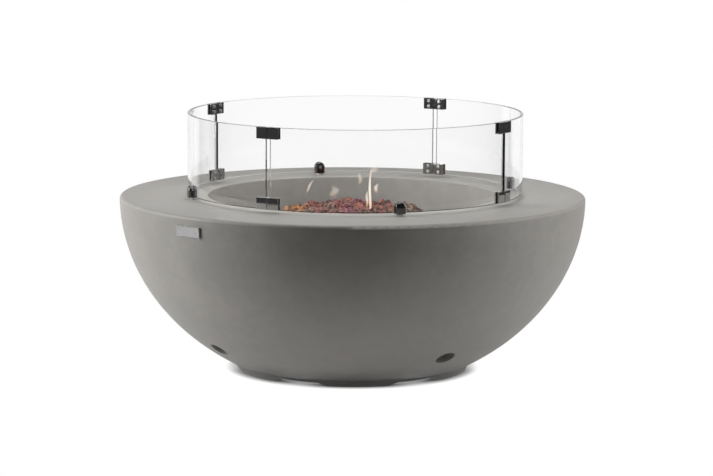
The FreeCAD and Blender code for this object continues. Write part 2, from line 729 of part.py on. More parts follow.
def make_lava_rocks(bed):
    """Loose rocks in a sunflower layout over the bed, each cut to lie on it."""
    doc.recompute()
    chance = random.Random(11)
    count = round(size("rock_count"))
    widest = size(lava_edge() + " - rock_size")
    golden_turn = math.pi * (3 - math.sqrt(5))
    rocks = []
    for i in range(count):
        radius = widest * math.sqrt((i + 0.5) / count)
        angle = i * golden_turn
        half = size("rock_size") * chance.uniform(*ROCK_SIZES)
        level = lava_level(radius) + half * chance.uniform(*ROCK_RISE)
        centre = Vector(radius * math.cos(angle), radius * math.sin(angle), level)
        stone = rock(centre, half, chance)
        if stone.Volume < 0:
            stone.reverse()
        near = [other for other in rocks if other.BoundBox.intersect(stone.BoundBox)]
        stone = stone.cut([bed.Shape] + near)
        rocks.append(max(stone.Solids, key=lambda piece: piece.Volume))
    item = doc.addObject("Part::Feature", "lava_rocks")
    item.Shape = Part.makeCompound(rocks)
    return item


# Controls, at the rear

def panel_face():
    """Height of the control panel's face over the dome's surface, negative because it is sunk."""
    return size("panel_sheet") - size("pocket_depth")


def make_control_panel():
    plate = box("panel_plate", "pocket_length - 2 * panel_gap", "pocket_height - 2 * panel_gap",
                "panel_sheet", Placement())
    plate = rounded("panel_plate_round", plate, "pocket_corner - panel_gap", is_upright)
    plate = copy_of(plate, "panel_blank", on_control(z=-size("pocket_depth")))
    low = panel_face() - 2 * size("panel_sheet")
    holes = [cylinder("panel_valve_hole", "valve_neck + fit_gap", "panel_sheet * 3",
                      on_control(size("valve_x"), 0, low)),
             cylinder("panel_igniter_hole", "igniter_neck + fit_gap", "panel_sheet * 3",
                      on_control(size("igniter_x"), 0, low))]
    for i, place in enumerate(panel_screw_places(-size("panel_sheet"))):
        holes.append(cylinder("panel_screw_hole_%d" % i, "panel_screw_radius + fit_gap", "panel_sheet * 3",
                              place))
    return cut("control_panel", plate, *holes)


def make_panel_screws():
    screws = [bolt("panel_screw_%d" % i, "panel_screw_radius", "panel_screw_length", place)
              for i, place in enumerate(panel_screw_places(size("panel_sheet")))]
    return group("panel_screws", screws)


def neck_top():
    return panel_face() + size("control_nut_height")


def block_front():
    return -size("pocket_depth") - size("valve_shoulder_length")


def port_place(depth, side):
    """On the underside of the valve block, pointing down."""
    down = Rotation(Vector(1, 0, 0), 90)
    return on_control(size("valve_x"), -size("valve_height") / 2 + side, block_front() - size(depth), down)


def make_valve_body():
    x = size("valve_x")
    back = block_front() - size("valve_length")
    block = box("valve_block", "valve_width", "valve_height", "valve_length", on_control(x, 0, back))
    shoulder = cylinder("valve_shoulder_part", "valve_shoulder", "valve_shoulder_length",
                        on_control(x, 0, block_front()))
    neck = cylinder("valve_neck_part", "valve_neck", "panel_sheet + control_nut_height",
                    on_control(x, 0, -size("pocket_depth")))
    inlet = cylinder("valve_inlet", "inlet_radius", "inlet_length", port_place("inlet_depth", 0))
    outlet = cylinder("valve_outlet", "outlet_radius", "outlet_length", port_place("outlet_depth", 0))
    sideways = Rotation(Vector(0, 1, 0), -90)
    port = cylinder("valve_sensor_port", "sensor_port", "sensor_port_length",
                    on_control(x - size("valve_width") / 2, 0, back + size("inlet_depth"), sideways))
    collar_bore = cylinder("valve_collar_bore", "collar_radius + running_gap",
                           "collar_sink + push_travel * 2", on_control(x, 0, collar_floor()))
    stem_bore = cylinder("valve_stem_bore", "stem_rod + running_gap", "stem_depth + drill_spare",
                         on_control(x, 0, collar_floor() - size("stem_depth")))
    gas_bore = cylinder("valve_inlet_bore", "inlet_bore", "inlet_length + 2 * inlet_bore",
                        port_place("inlet_depth", size("inlet_bore")))
    return cut("valve_body", fuse("valve_blank", block, shoulder, neck, inlet, outlet, port),
               collar_bore, stem_bore, gas_bore)


def collar_rest():
    """Underside of the push collar at rest."""
    return neck_top() - size("collar_sink")


def collar_floor():
    return collar_rest() - size("push_travel") - size("fit_gap")


def make_push_collar():
    place = on_control(size("valve_x"), 0, collar_rest())
    ring = cylinder("collar_blank", "collar_radius", "collar_height", place)
    return cut("push_collar", ring, cylinder("collar_bore", "stem_rod + running_gap", "collar_height", place))


def make_valve_stem():
    """The stem turns in the collar; its shoulder pushes the collar in."""
    low = "push_travel + fit_gap - stem_depth"
    ledge = "collar_height + stem_shoulder_height"
    top = "collar_sink + push_travel + knob_clear + knob_height / 2"
    outline = [("0", low), ("stem_rod", low), ("stem_rod", "collar_height"),
               ("stem_shoulder", "collar_height"), ("stem_shoulder", ledge), ("stem_rod", ledge),
               ("stem_rod", top), ("0", top)]
    return lathe("valve_stem", outline, on_control(size("valve_x"), 0, collar_rest()))


def knob_back():
    return neck_top() + size("push_travel") + size("knob_clear")


def make_control_knob():
    """A skirted knob with a raised grip bar, bored for the stem."""
    skirt = [("0", "0"), ("knob_radius", "0"), ("knob_radius", "knob_skirt - knob_bevel"),
             ("knob_radius - knob_bevel", "knob_skirt"), ("0", "knob_skirt")]
    place = on_control(size("valve_x"), 0, knob_back())
    base = lathe("knob_skirt_part", skirt, place)
    bar = box("knob_bar", "knob_grip", "knob_grip_length", "knob_height", Placement())
    bar = rounded("knob_bar_round", bar, "knob_grip_round", is_upright)
    bar = copy_of(bar, "knob_bar_placed", place)
    bore = cylinder("knob_bore", "stem_rod", "knob_height / 2", place)
    return cut("control_knob", fuse("knob_blank", base, bar), bore)


def make_igniter_housing():
    x = size("igniter_x")
    body = cylinder("igniter_rear", "igniter_body", "igniter_length",
                    on_control(x, 0, -size("pocket_depth") - size("igniter_length")))
    neck = cylinder("igniter_neck_part", "igniter_neck", "panel_sheet + control_nut_height",
                    on_control(x, 0, -size("pocket_depth")))
    depth = "button_length - button_proud + push_travel + drill_spare"
    bore = cylinder("igniter_bore", "button_radius + running_gap", depth,
                    on_control(x, 0, neck_top() - size(depth)))
    return cut("igniter_housing", fuse("igniter_blank", body, neck), bore)


def make_igniter_nut():
    place = on_control(size("igniter_x"), 0, panel_face())
    ring = cylinder("igniter_ring", "igniter_nut_radius", "control_nut_height", place)
    return cut("igniter_nut", ring, cylinder("igniter_ring_bore", "igniter_neck + fit_gap",
                                             "control_nut_height", place))


def make_igniter_button():
    low = "button_proud - button_length"
    bevel = "button_proud - button_bevel"
    outline = [("0", low), ("button_radius", low), ("button_radius", bevel),
               ("button_radius - button_bevel", "button_proud"), ("0", "button_proud - button_dish")]
    return lathe("igniter_button", outline, on_control(size("igniter_x"), 0, neck_top()))


# Tube, wire and lead under the basin

def tube(name, route, bends, radius, place=None):
    """A round tube along straight runs joined by tangent arcs."""
    edges = []
    start = route[0]
    for corner, after, bend in zip(route[1:], route[2:], bends):
        before = (start - corner).normalize()
        onward = (after - corner).normalize()
        half = before.getAngle(onward) / 2
        reach = bend / math.tan(half)
        entry = corner + before * reach
        leave = corner + onward * reach
        middle_line = (before + onward).normalize()
        middle = corner + middle_line * (bend / math.sin(half) - bend)
        edges += [Part.makeLine(start, entry), Part.Arc(entry, middle, leave).toShape()]
        start = leave
    edges.append(Part.makeLine(start, route[-1]))
    path = Part.Wire(edges)
    heading = edges[0].tangentAt(edges[0].FirstParameter)
    ring = Part.Wire(Part.makeCircle(radius, route[0], heading))
    item = doc.addObject("Part::Feature", name)
    item.Shape = path.makePipeShell([ring], True, True)
    item.Placement = place or Placement()
    print("%s: length %.0f, volume against section times length %.4f" % (
        name, path.Length, item.Shape.Volume / (math.pi * radius ** 2 * path.Length)))
    return item


def slab_bottom():
    return size("bowl_height - basin_depth - basin_floor")


def make_gas_tube():
    """From the nut on the valve's outlet down under the basin and in to the elbow."""
    start = port_place("outlet_depth", 0).multVec(Vector(0, 0, size("outlet_length")))
    heading = port_place("outlet_depth", 0).Rotation.multVec(Vector(0, 0, 1))
    level = elbow_axis_level()
    corner = start + heading * ((start.z - level) / -heading.z)
    inward = turned_about(size("control_turn"), 0, -size("elbow_reach"), level).Base
    bend_out = turned_about(size("control_turn"), 0, -size("elbow_reach + tube_end_run"), level).Base
    bends = [size("tube_bend"), size("tube_end_bend")]
    return tube("gas_tube", [start, corner, bend_out, inward], bends, size("tube_radius"))


def make_tube_nuts():
    """Hexagon nuts over the tube's two ends and the spigots they are screwed to."""
    length = size("tube_nut_length")
    up = Placement(Vector(0, 0, size("outlet_length") - length / 2), Rotation())
    at_valve = port_place("outlet_depth", 0) * up
    at_elbow = turned_about(size("control_turn"), 0, length / 2 - size("elbow_reach"),
                            elbow_axis_level(), 90)
    nuts = [nut("tube_nut_%d" % i, "tube_nut_radius", "tube_nut_length", "tube_radius + fit_gap", place)
            for i, place in enumerate((at_valve, at_elbow))]
    return group("tube_nuts", nuts)


def make_ignition_wire():
    back = -size("pocket_depth") - size("igniter_length")
    start = on_control(size("igniter_x"), 0, back).Base
    second = on_control(size("igniter_x"), 0, back - size("wire_exit")).Base
    end = probe_place("electrode", -size("probe_below")).Base
    level = slab_bottom() - size("wire_drop")
    return tube("ignition_wire", wire_route(start, second, end, level), 3 * [size("wire_bend")],
                size("wire_radius"))


def make_thermocouple_lead():
    back = block_front() - size("valve_length") + size("inlet_depth")
    x = size("valve_x") - size("valve_width") / 2 - size("sensor_port_length")
    start = on_control(x, 0, back).Base
    second = on_control(x - size("lead_exit"), 0, back).Base
    end = probe_place("sensor", -size("probe_below")).Base
    level = slab_bottom() - size("wire_drop")
    return tube("thermocouple_lead", wire_route(start, second, end, level), 3 * [size("wire_bend")],
                size("lead_radius"))


def wire_route(start, second, end, level):
    """Out of the start, down outside the basin, in under its slab and up to the end."""
    low = Vector(second.x, second.y, level)
    return [start, second, low, Vector(end.x, end.y, level), end]


# Wind screen

def joint_turns():
    return round_parts("panel_count", "joint_turn")


def leaf_turn():
    """Turn of a leaf's middle away from the gap between two panels."""
    return math.degrees(math.atan2(size("clamp_width + clamp_split") / 2, size("screen_radius")))


def clamp_levels():
    low = size("bowl_height + glass_lift")
    return {"lower": low, "upper": low + size("glass_height - clamp_height")}


def glass_face(side):
    """Distance of the glass's outer (+1) or inner (-1) face from the axis."""
    return size("screen_radius") + side * size("glass_thickness") / 2


def screw_levels():
    middle = size("clamp_height") / 2
    step = size("clamp_screw_spacing") / 2
    return [middle - step, middle + step]


def make_glass_panels():
    panels = []
    low = size("bowl_height + glass_lift")
    gap_turn = math.degrees(size("glass_gap / screen_radius"))
    sweep = "360 / panel_count - glass_gap / screen_radius * 180 / pi"
    for i, joint in enumerate(joint_turns(), 1):
        start = joint + gap_turn / 2
        name = "glass_panel_%d" % i
        outer = cylinder(name + "_outer", "screen_radius + glass_thickness / 2", "glass_height",
                         turned_about(start - 90, 0, 0, low))
        outer.setExpression("Angle", bound(sweep))
        tools = [cylinder(name + "_inner", "screen_radius - glass_thickness / 2", "glass_height",
                          turned_about(0, 0, 0, low))]
        next_joint = joint + 360.0 / size("panel_count")
        for turn in (joint + leaf_turn(), next_joint - leaf_turn()):
            for level in clamp_levels().values():
                for height in screw_levels():
                    place = turned_about(turn, 0, size("cutter_reach") - glass_face(-1), level + height, 90)
                    tools.append(cylinder("%s_hole_%d" % (name, len(tools)), "glass_hole",
                                          "glass_thickness + 2 * cutter_reach", place))
        panels.append(cut(name, outer, *tools))
    return panels


def leaf_block(name, side):
    """One rounded leaf outside (side +1) or inside (-1) the glass, turned to the front."""
    distance = glass_face(side) + side * size("gasket")
    middle = distance + side * size("clamp_sheet") / 2
    block = box(name + "_block", "clamp_width", "clamp_sheet", "clamp_height", turned_about(0, 0, -middle, 0))
    return rounded(name, block, "clamp_round", lambda edge: True)


def make_clamp_outer():
    """Two leaves in a slight V, a web through the gap and four bosses through the glass."""
    leaf = leaf_block("outer_leaf", 1)
    outside = glass_face(1) + size("gasket")
    reach = "glass_thickness + 1.5 * gasket + web_root"
    parts = [box("clamp_web_part", "clamp_web", reach, "clamp_height",
                 turned_about(0, 0, size(reach) / 2 - outside - size("web_root"), 0))]
    threads = []
    for i, turn in enumerate((-leaf_turn(), leaf_turn())):
        parts.append(copy_of(leaf, "outer_leaf_%d" % i, turned_about(turn)))
        for j, height in enumerate(screw_levels()):
            length = "glass_thickness + gasket"
            place = turned_about(turn, 0, -outside + size(length), height, 90)
            parts.append(cylinder("boss_%d_%d" % (i, j), "boss_radius", length + " + web_root / 2", place))
            threads.append(cylinder("boss_thread_%d_%d" % (i, j), "clamp_screw_radius + running_gap",
                                    "thread_grip + fit_gap", place))
    return cut("clamp_outer_master", fuse("clamp_outer_blank", *parts), *threads)


def make_clamp_inner():
    """Two flat leaves behind the glass, each with two screw holes."""
    leaf = leaf_block("inner_leaf", -1)
    inside = glass_face(-1) - size("gasket")
    holes = [cylinder("inner_leaf_hole_%d" % i, "clamp_screw_radius + fit_gap", "clamp_sheet * 3",
                      turned_about(0, 0, 2 * size("clamp_sheet") - inside, height, 90))
             for i, height in enumerate(screw_levels())]
    drilled = cut("inner_leaf_drilled", leaf, *holes)
    return group("clamp_inner_master", [copy_of(drilled, "inner_leaf_%d" % i, turned_about(turn))
                                        for i, turn in enumerate((-leaf_turn(), leaf_turn()))])


def make_clamp_gasket():
    """Outer and inner rubber of one leaf, flat to the metal and curved to the glass."""
    pads = []
    for side, word in ((1, "outer"), (-1, "inner")):
        flat = glass_face(side) + side * size("gasket")
        block = box("gasket_%s_block" % word, "clamp_width - glass_gap + clamp_split", "gasket * 2",
                    "clamp_height - 2 * clamp_round",
                    turned_about(0, 0, side * size("gasket") - flat, size("clamp_round")))
        glass = cylinder("gasket_%s_glass" % word,
                         "screen_radius %s glass_thickness / 2" % ("+" if side > 0 else "-"),
                         "clamp_height", Placement())
        pad = cut if side > 0 else common
        shaped = pad("gasket_%s_shaped" % word, block, glass)
        holes = [cylinder("gasket_%s_hole_%d" % (word, i), "glass_hole", "cutter_reach * 2",
                          turned_about(0, 0, size("cutter_reach") - flat, height, 90))
                 for i, height in enumerate(screw_levels())]
        pads.append(cut("gasket_" + word, shaped, *holes))
    return group("gasket_master", pads)


def make_clamp_screw():
    """Button head screw from the inside into the outer leaf's boss, turned to the front."""
    inside = glass_face(-1) - size("gasket") - size("clamp_sheet")
    length = "clamp_sheet + gasket + thread_grip"
    place = turned_about(0, 0, -inside, 0, -90)
    return group("clamp_screw_master", [bolt("clamp_screw", "clamp_screw_radius", length, place)])


def make_clamps():
    outer, inner = make_clamp_outer(), make_clamp_inner()
    rubber, screw = make_clamp_gasket(), make_clamp_screw()
    nodes, pads, screws = [], [], []
    for tier, level in clamp_levels().items():
        for i, joint in enumerate(joint_turns(), 1):
            place = turned_about(joint, 0, 0, level)
            nodes.append(copy_of(outer, "clamp_outer_%s_%d" % (tier, i), place))
            nodes.append(copy_of(inner, "clamp_inner_%s_%d" % (tier, i), place))
            for j, turn in enumerate((joint - leaf_turn(), joint + leaf_turn())):
                name = "%s_%d_%d" % (tier, i, j)
                pads.append(copy_of(rubber, "gasket_" + name, turned_about(turn, 0, 0, level)))
                for k, height in enumerate(screw_levels()):
                    at_screw = turned_about(turn, 0, 0, level + height)
                    screws.append(copy_of(screw, "screw_%s_%d" % (name, k), at_screw))
    return nodes + [group("clamp_gaskets", pads), group("clamp_screws", screws)]


def shoe_turns():
    """The middle of each panel, with the rear foot a little off it, as the photograph shows."""
    half = 180.0 / size("panel_count")
    turns = [turn + half for turn in joint_turns()]
    rear = max(range(len(turns)), key=lambda i: -math.cos(math.radians(turns[i])))
    turns[rear] += size("rear_foot_turn")
    return turns


def shoe_slot():
    return "glass_thickness + 2 * liner"


def make_screen_shoe():
    """A round topped clip with a slot for the glass, turned to the front, on the rim's level."""
    depth = shoe_slot() + " + 2 * shoe_jaw"
    middle = size("screen_radius")
    half = "shoe_width / 2"
    straight = "shoe_top - shoe_bottom - shoe_width / 2"
    low = size("shoe_bottom")
    block = box("shoe_block", "shoe_width", depth, straight, turned_about(0, 0, -middle, low))
    crown = cylinder("shoe_crown", half, depth,
                     turned_about(0, 0, -middle + size(depth) / 2, low + size(straight), 90))
    crown.Angle = 180
    blank = fuse("shoe_blank", block, crown)
    blank.Refine = True

    def on_jaw_face(edge):
        spread = edge.BoundBox
        return spread.YLength < 0.01 and spread.ZLength > 0.01
    soft = rounded("shoe_soft", blank, "shoe_round", on_jaw_face)
    slot = box("shoe_slot", "shoe_width * 2", shoe_slot(), "shoe_top",
               turned_about(0, 0, -middle, size("glass_lift - liner")))
    thread = cylinder("shoe_thread", "shoe_screw_radius + running_gap", "shoe_jaw * 1.5",
                      turned_about(0, 0, -middle + size(shoe_slot()) / 2 + 1.5 * size("shoe_jaw"),
                                   low + size(straight), 90))
    return cut("shoe_master", soft, slot, thread)


def make_shoe_liner():
    """Rubber in the slot, cut to the curve of the glass."""
    block = box("liner_block", "shoe_width - 2 * liner", shoe_slot(), "shoe_width / 2",
                turned_about(0, 0, -size("screen_radius"), size("glass_lift - liner")))
    place = turned_about(0, 0, 0, size("glass_lift"))
    half = "(glass_thickness / 2 + running_gap)"
    outer = cylinder("liner_glass_outer", "screen_radius + " + half, "shoe_top", place)
    inner = cylinder("liner_glass_inner", "screen_radius - " + half, "shoe_top", place)
    return cut("liner_master", block, cut("liner_glass", outer, inner))


def make_screen_feet():
    shoe, liner = make_screen_shoe(), make_shoe_liner()
    centre = size("shoe_top - shoe_width / 2")
    inside = size("screen_radius") - size(shoe_slot()) / 2
    end = "shoe_jaw + shoe_screw_proud"
    socket = end + " - shoe_socket_depth"
    outline = [("0", "0"), ("shoe_screw_radius", "0"), ("shoe_screw_radius", end),
               ("shoe_socket_radius", end), ("shoe_socket_radius", socket), ("0", socket)]
    screw = lathe("shoe_screw", outline, turned_about(0, 0, -inside, centre, -90))
    pad = cylinder("shoe_pad", "pad_radius", "shoe_bottom", turned_about(0, 0, -size("screen_radius"), 0))
    nodes, liners, screws, pads = [], [], [], []
    for i, turn in enumerate(shoe_turns(), 1):
        place = turned_about(turn, 0, 0, size("bowl_height"))
        nodes.append(copy_of(shoe, "screen_foot_%d" % i, place))
        liners.append(copy_of(liner, "foot_liner_%d" % i, place))
        screws.append(copy_of(screw, "foot_screw_%d" % i, place))
        pads.append(copy_of(pad, "foot_pad_%d" % i, place))
    return nodes + [group("foot_liners", liners), group("foot_screws", screws), group("foot_pads", pads)]


def make_wind_screen():
    """All that lifts off with the glass. It stands loose, a little to one side of the bowl's axis."""
    nodes = make_glass_panels() + make_clamps() + make_screen_feet()
    aside = Placement(Vector(size("screen_aside"), 0, 0), Rotation())
    for node in nodes:
        node.Placement = aside * node.Placement
    return nodes


def make_nodes():
    bed = make_lava_bed()
    fixed = [make_bowl_shell(), make_bowl_rim(), make_basin_wall(), make_basin_floor(), make_base_feet(),
             make_name_plate(), make_burner_pan(),
             make_pan_screws(), make_burner_ring(), make_burner_stem(), make_stem_nuts(), make_burner_elbow(),
             make_electrode(), make_electrode_rod(), make_thermocouple(), bed, make_lava_rocks(bed),
             make_control_panel(), make_panel_screws(), make_valve_body(),
             nut("valve_nut", "valve_nut_radius", "control_nut_height", "valve_neck + fit_gap",
                 on_control(size("valve_x"), 0, panel_face())),
             make_igniter_housing(), make_igniter_nut(), make_gas_tube(), make_tube_nuts(),
             make_ignition_wire(), make_thermocouple_lead()]
    moving = [make_push_collar(), make_valve_stem(), make_control_knob(), make_igniter_button()]
    return fixed + moving + make_wind_screen()


def check_and_write(nodes):
    doc.recompute()
    faults = [item.Name for item in doc.Objects if "Invalid" in item.State or "Error" in item.State]
    for node in nodes:
        shape = node.Shape
        if shape.isNull() or not shape.isValid() or not shape.Solids or shape.Volume <= 0:
            faults.append(node.Label + " has no valid solid")
    if faults:
        raise RuntimeError("; ".join(faults))
    os.makedirs("parts", exist_ok=True)
    for node in nodes:
        node.Shape.exportStep("parts/%s.step" % node.Label)
    print("%d nodes, %d solids" % (len(nodes), sum(len(node.Shape.Solids) for node in nodes)))


check_and_write(make_nodes())
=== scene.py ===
import json
import math
import random
import bmesh
import bpy
from mathutils import Matrix, Vector, noise
from mathutils.bvhtree import BVHTree


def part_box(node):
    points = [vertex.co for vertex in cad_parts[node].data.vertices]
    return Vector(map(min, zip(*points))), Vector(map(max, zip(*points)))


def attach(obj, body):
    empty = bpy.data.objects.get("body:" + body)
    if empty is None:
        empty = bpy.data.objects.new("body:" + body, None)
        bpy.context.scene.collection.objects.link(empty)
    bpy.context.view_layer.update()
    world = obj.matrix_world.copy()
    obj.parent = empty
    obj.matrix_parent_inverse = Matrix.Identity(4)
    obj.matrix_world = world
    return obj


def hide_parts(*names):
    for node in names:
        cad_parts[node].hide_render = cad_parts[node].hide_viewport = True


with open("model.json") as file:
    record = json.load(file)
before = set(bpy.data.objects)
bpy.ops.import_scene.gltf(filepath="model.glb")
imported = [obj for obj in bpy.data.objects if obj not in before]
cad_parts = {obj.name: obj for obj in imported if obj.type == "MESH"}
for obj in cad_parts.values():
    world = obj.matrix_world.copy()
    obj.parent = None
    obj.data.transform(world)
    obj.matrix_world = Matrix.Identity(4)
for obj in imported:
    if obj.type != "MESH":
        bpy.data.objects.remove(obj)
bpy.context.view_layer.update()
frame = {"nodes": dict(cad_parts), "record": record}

# Round fire pit table: concrete bowl, lava rock and a curved glass wind screen. Lengths are in metres.
# Sharp edges and the camera's angles are in degrees, other angles in radians.
# A turn is an angle about +Z, counted from the front (-Y) towards +X.
nodes = frame["nodes"]
print("frame loaded:", len(nodes), "nodes")


# Shader maths

class Value:  # a socket, on which Python's operators add Math nodes
    def __init__(self, recipe, socket):
        self.recipe = recipe
        self.socket = socket

    def __add__(self, other):
        return self.recipe.maths("ADD", self, other)

    def __radd__(self, other):
        return self.recipe.maths("ADD", other, self)

    def __sub__(self, other):
        return self.recipe.maths("SUBTRACT", self, other)

    def __rsub__(self, other):
        return self.recipe.maths("SUBTRACT", other, self)

    def __mul__(self, other):
        return self.recipe.maths("MULTIPLY", self, other)

    def __rmul__(self, other):
        return self.recipe.maths("MULTIPLY", other, self)


class Recipe:  # fills one node tree
    def __init__(self, tree):
        self.tree = tree
        tree.nodes.clear()

    def node(self, kind, settings=None, inputs=None, output=0):
        made = self.tree.nodes.new(kind)
        for key, value in (settings or {}).items():
            if key == "stops":
                self.fillRamp(made.color_ramp, value)
            else:
                setattr(made, key, value)
        for key, value in (inputs or {}).items():
            if isinstance(value, Value):
                self.tree.links.new(value.socket, made.inputs[key])
            else:
                made.inputs[key].default_value = value
        return Value(self, made.outputs[output] if made.outputs else None)

    def fillRamp(self, ramp, stops):
        while len(ramp.elements) < len(stops):
            ramp.elements.new(1.0)
        for element, (position, colour) in zip(ramp.elements, stops):
            element.position = position
            element.color = colour

    def maths(self, operation, first, second):
        return self.node("ShaderNodeMath", {"operation": operation}, {0: first, 1: second})

    def larger(self, first, second):
        return self.maths("MAXIMUM", first, second)

    def limit(self, value, low, high):  # value from low to high becomes 0 to 1
        return self.node("ShaderNodeMapRange", {"interpolation_type": "SMOOTHSTEP"},
                         {"Value": value, "From Min": low, "From Max": high})

    def place(self, stretch=(1, 1, 1)):
        spot = self.node("ShaderNodeTexCoord", output="Object")
        return self.node("ShaderNodeMapping", {}, {"Vector": spot, "Scale": stretch})

    def along(self, vector, axis):
        return self.node("ShaderNodeSeparateXYZ", {}, {0: vector}, axis)

    def length(self, vector):
        return self.node("ShaderNodeVectorMath", {"operation": "LENGTH"}, {0: vector}, "Value")

    def noise(self, place, size, detail=2.0, roughness=0.5):  # size of a blotch
        return self.node("ShaderNodeTexNoise", {}, {"Vector": place, "Scale": 1 / size, "Detail": detail,
                                                    "Roughness": roughness})

    def cells(self, place, size):  # 0 at the middle of each cell
        return self.node("ShaderNodeTexVoronoi", {}, {"Vector": place, "Scale": 1 / size})

    def openness(self, reach, samples):  # 1 in the open, 0 in a crevice
        return self.node("ShaderNodeAmbientOcclusion", {"samples": samples}, {"Distance": reach}, "AO")

    def attribute(self, name):
        return self.node("ShaderNodeAttribute", {"attribute_name": name}, output="Fac")

    def ray(self, kind):
        return self.node("ShaderNodeLightPath", output="Is %s Ray" % kind)

    def mixColour(self, factor, first, second):
        return self.node("ShaderNodeMix", {"data_type": "RGBA"}, {0: factor, 6: first, 7: second}, 2)

    def mixShader(self, factor, first, second):
        return self.node("ShaderNodeMixShader", {}, {0: factor, 1: first, 2: second})

    def bump(self, height, depth):
        return self.node("ShaderNodeBump", {}, {"Height": height, "Distance": depth})


def between(low, high, share):
    return low + (high - low) * share


def shared(first, second, share):
    return first * share + second * (1 - share)


def grey(level, warmth=0.0):
    return (level * (1 + warmth), level, level * (1 - warmth), 1)


# Materials

def newMaterial(name):
    material = bpy.data.materials.new(name)
    material.use_nodes = True
    return material, Recipe(material.node_tree)


def newFinish(name, constants, dress=None, shadow=None):
    material, recipe = newMaterial(name)
    inputs = dict(constants)
    if dress:
        inputs.update(dress(recipe))
    surface = recipe.node("ShaderNodeBsdfPrincipled", {}, inputs)
    if shadow:  # the lamps shine through glass, so its shadow is pale
        clear = recipe.node("ShaderNodeBsdfTransparent", {}, {"Color": shadow})
        surface = recipe.mixShader(recipe.ray("Shadow"), surface, clear)
    recipe.node("ShaderNodeOutputMaterial", {}, {"Surface": surface})
    return material


concrete = {
    "pale": (0.415, 0.398, 0.372, 1), "dark": (0.355, 0.340, 0.317, 1), "cloud": 0.16, "mottle": 0.022,
    "cloudShare": 0.65, "toneReach": (0.36, 0.64), "smooth": 0.5, "rough": 0.66,
    "grain": 0.0012, "grainDepth": 0.00006, "mottleDepth": 0.00012,
    "pinhole": 0.021, "pinholeReach": (0.03, 0.075), "pinholePlaces": (0.56, 0.62), "pinholeShade": 0.55,
    "pinholeShadeTone": grey(0.12, 0.05), "pinholeDepth": 0.0008,
    # painted shade: the concrete darkens towards the floor, over the feet and lowest dome
    "paintedShadeReach": (0.01, 0.06), "paintedShadeShare": 0.62, "paintedShadeTone": grey(0.03, 0.05),
}


def concreteDress(recipe):
    place = recipe.place()
    clouds = recipe.noise(place, concrete["cloud"], detail=3.0, roughness=0.55)
    mottle = recipe.noise(place, concrete["mottle"], detail=3.0, roughness=0.6)
    tone = recipe.limit(shared(clouds, mottle, concrete["cloudShare"]), *concrete["toneReach"])
    colour = recipe.mixColour(tone, concrete["dark"], concrete["pale"])
    pinholes = 1 - recipe.limit(recipe.cells(place, concrete["pinhole"]), *concrete["pinholeReach"])
    patches = recipe.noise(place, concrete["cloud"] / 3)
    pinholes = pinholes * recipe.limit(patches, *concrete["pinholePlaces"])  # only some places have them
    # painted shade inside the pinholes, which the bump also presses into the surface
    colour = recipe.mixColour(pinholes * concrete["pinholeShade"], colour, concrete["pinholeShadeTone"])
    # painted shade: the feet and lowest dome are painted darker, as they stand in shadow near the floor
    low = 1 - recipe.limit(recipe.along(place, "Z"), *concrete["paintedShadeReach"])  # feet and lowest dome
    colour = recipe.mixColour(low * concrete["paintedShadeShare"], colour, concrete["paintedShadeTone"])
    grain = recipe.noise(place, concrete["grain"])
    relief = (grain * concrete["grainDepth"] + mottle * concrete["mottleDepth"]
              - pinholes * concrete["pinholeDepth"])
    return {"Base Color": colour, "Roughness": between(concrete["smooth"], concrete["rough"], tone),
            "Normal": recipe.bump(relief, 1.0)}


rock = {  # the first stop is dark, then come red, purple, ochre, dusty pink and grey
    "stops": [(0.0, (0.230, 0.105, 0.090, 1)), (0.22, (0.520, 0.185, 0.145, 1)),
              (0.42, (0.420, 0.145, 0.200, 1)), (0.6, (0.640, 0.280, 0.080, 1)),
              (0.8, (0.600, 0.300, 0.260, 1)), (1.0, (0.330, 0.290, 0.220, 1))],
    "patch": 0.014, "patchReach": (0.35, 0.7), "patchTone": grey(0.045, 0.25),
    "dustReach": (0.52, 0.68), "dustShare": 0.6, "dustTone": (0.66, 0.42, 0.33, 1),
    "bubble": 0.0034, "bubbleReach": (0.1, 0.45), "bubbleShade": 0.6, "bubbleShadeTone": grey(0.02, 0.2),
    "crevice": 0.014, "creviceReach": (0.15, 0.9), "creviceShadeTone": grey(0.012, 0.3),
    "roughShare": 0.5, "depth": 0.0016,
}


def lavaDress(recipe):
    place = recipe.place()
    tone = recipe.attribute("rockTone")
    base = recipe.node("ShaderNodeValToRGB", {"stops": rock["stops"]}, {"Fac": tone})
    patches = recipe.noise(place, rock["patch"], detail=4.0, roughness=0.65)
    colour = recipe.mixColour(recipe.limit(patches, *rock["patchReach"]), base, rock["patchTone"])
    dust = recipe.limit(recipe.noise(place, rock["patch"] / 3, detail=3.0), *rock["dustReach"])
    colour = recipe.mixColour(dust * rock["dustShare"], colour, rock["dustTone"])
    hollows = 1 - recipe.limit(recipe.cells(place, rock["bubble"]), *rock["bubbleReach"])
    # painted shade inside the bubble holes, which the bump also presses in
    colour = recipe.mixColour(hollows * rock["bubbleShade"], colour, rock["bubbleShadeTone"])
    # painted shade: darker in the crevices between stones, where nearby rock closes in
    openness = recipe.limit(recipe.openness(rock["crevice"], samples=8), *rock["creviceReach"])
    colour = recipe.mixColour(openness, rock["creviceShadeTone"], colour)
    rough = recipe.noise(place, rock["bubble"] / 2, detail=3.0, roughness=0.7)
    relief = rough * rock["roughShare"] - hollows
    return {"Base Color": colour, "Normal": recipe.bump(relief, rock["depth"])}


polish = {"smear": 0.02, "smearReach": (0.3, 0.7), "dull": 0.94}


def polishDress(level, smooth, rough):
    def dress(recipe):
        smear = recipe.noise(recipe.place(), polish["smear"], detail=3.0, roughness=0.6)
        shine = recipe.limit(smear, *polish["smearReach"])
        return {"Base Color": recipe.mixColour(shine, grey(level * polish["dull"]), grey(level)),
                "Roughness": between(smooth, rough, smear)}
    return dress


brush = {"line": 0.0006, "lineDepth": 0.00002, "smear": 0.03, "dull": 0.82, "toneShare": 0.6,
         "roughShare": 0.5}


